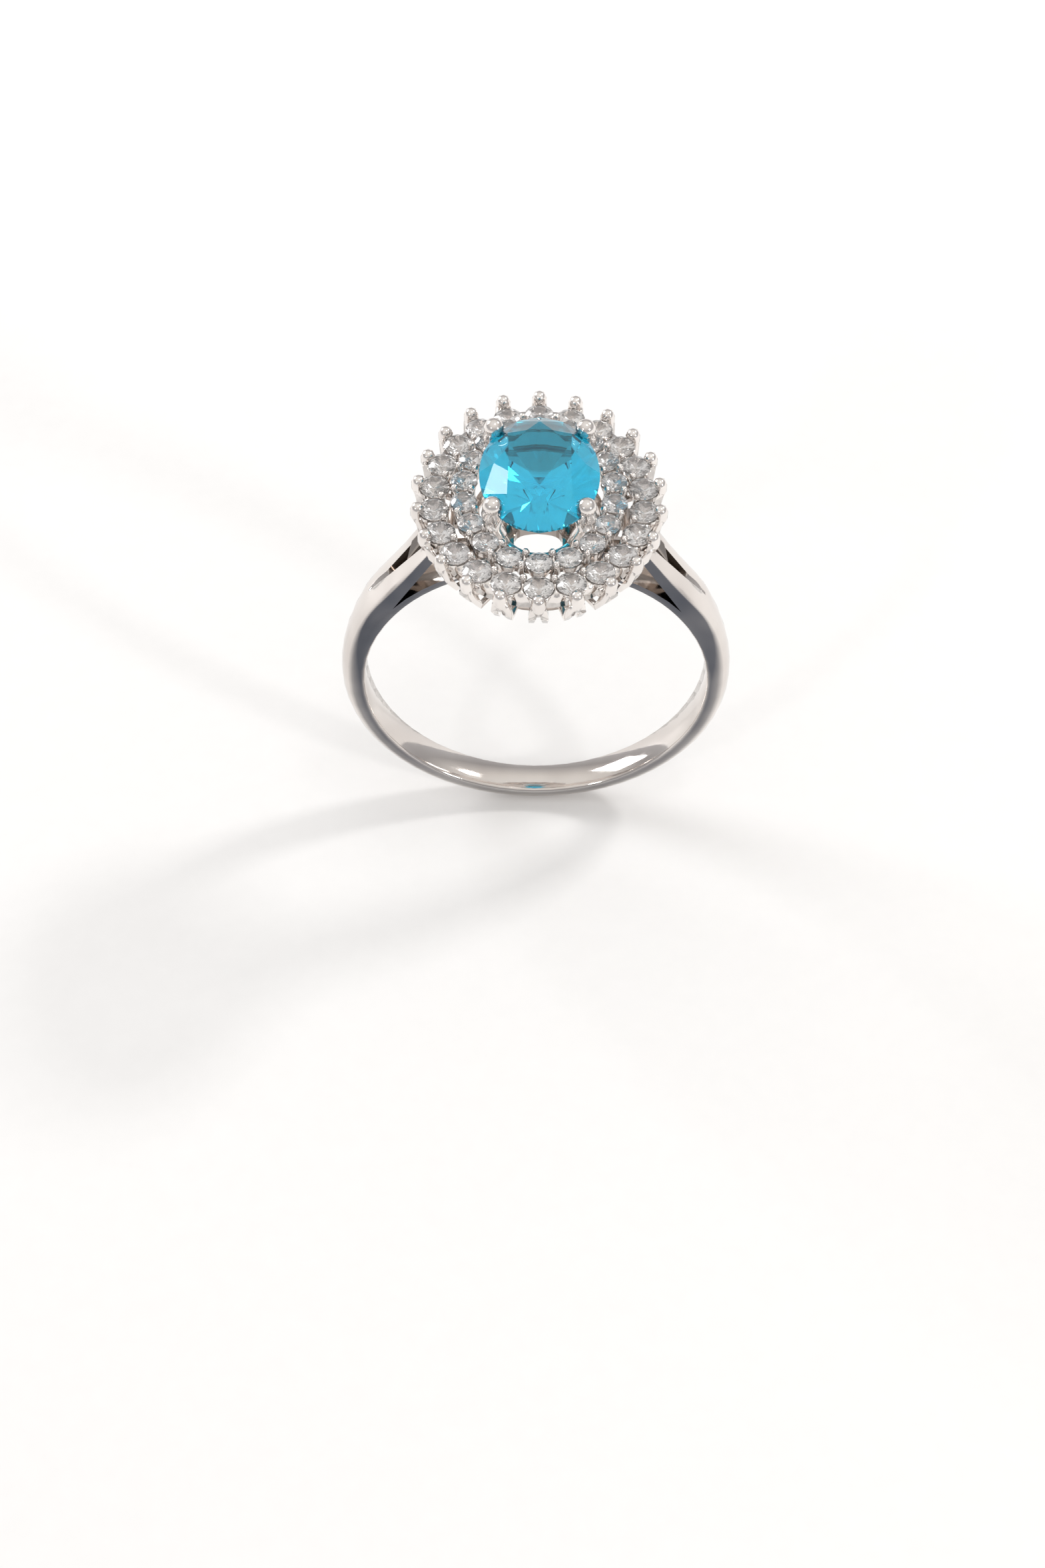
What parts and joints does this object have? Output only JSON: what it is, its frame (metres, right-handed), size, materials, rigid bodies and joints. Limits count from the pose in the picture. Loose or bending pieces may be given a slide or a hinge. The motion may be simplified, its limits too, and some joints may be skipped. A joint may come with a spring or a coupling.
{
  "type": "cocktail ring",
  "caption": "Finger ring with a split-shoulder shank, an oval sky-blue centre stone held by prongs, and stepped oval halos of round clear stones.",
  "frame": {"origin": "centre of the finger bore, midway across the band", "axes": "+Z from the finger up through the head to the centre stone's table; +Y along the finger bore, away from the pictured front; +X to the right as seen from that front"},
  "size_m": [0.0208, 0.0152, 0.0256],
  "materials": {
    "silver": "polished rhodium-plated silver",
    "sky_blue_stone": "faceted, polished",
    "clear_stone": "faceted, polished"
  },
  "bodies": {
    "root": {"shank": "silver", "centre_basket": "silver", "halo_tier_outer": "silver", "halo_tier_inner": "silver", "centre_stone": "sky_blue_stone", "halo_stone_outer_01": "clear_stone", "halo_stone_outer_02": "clear_stone", "halo_stone_outer_03": "clear_stone", "halo_stone_outer_04": "clear_stone", "halo_stone_outer_05": "clear_stone", "halo_stone_outer_06": "clear_stone", "halo_stone_outer_07": "clear_stone", "halo_stone_outer_08": "clear_stone", "halo_stone_outer_09": "clear_stone", "halo_stone_outer_10": "clear_stone", "halo_stone_outer_11": "clear_stone", "halo_stone_outer_12": "clear_stone", "halo_stone_outer_13": "clear_stone", "halo_stone_outer_14": "clear_stone", "halo_stone_outer_15": "clear_stone", "halo_stone_outer_16": "clear_stone", "halo_stone_outer_17": "clear_stone", "halo_stone_outer_18": "clear_stone", "halo_stone_outer_19": "clear_stone", "halo_stone_outer_20": "clear_stone", "halo_stone_outer_21": "clear_stone", "halo_stone_outer_22": "clear_stone", "halo_stone_inner_01": "clear_stone", "halo_stone_inner_02": "clear_stone", "halo_stone_inner_03": "clear_stone", "halo_stone_inner_04": "clear_stone", "halo_stone_inner_05": "clear_stone", "halo_stone_inner_06": "clear_stone", "halo_stone_inner_07": "clear_stone", "halo_stone_inner_08": "clear_stone", "halo_stone_inner_09": "clear_stone", "halo_stone_inner_10": "clear_stone", "halo_stone_inner_11": "clear_stone", "halo_stone_inner_12": "clear_stone", "halo_stone_inner_13": "clear_stone", "halo_stone_inner_14": "clear_stone", "halo_stone_inner_15": "clear_stone", "halo_stone_inner_16": "clear_stone", "halo_stone_inner_17": "clear_stone", "halo_stone_inner_18": "clear_stone"}
  },
  "joints": []
}
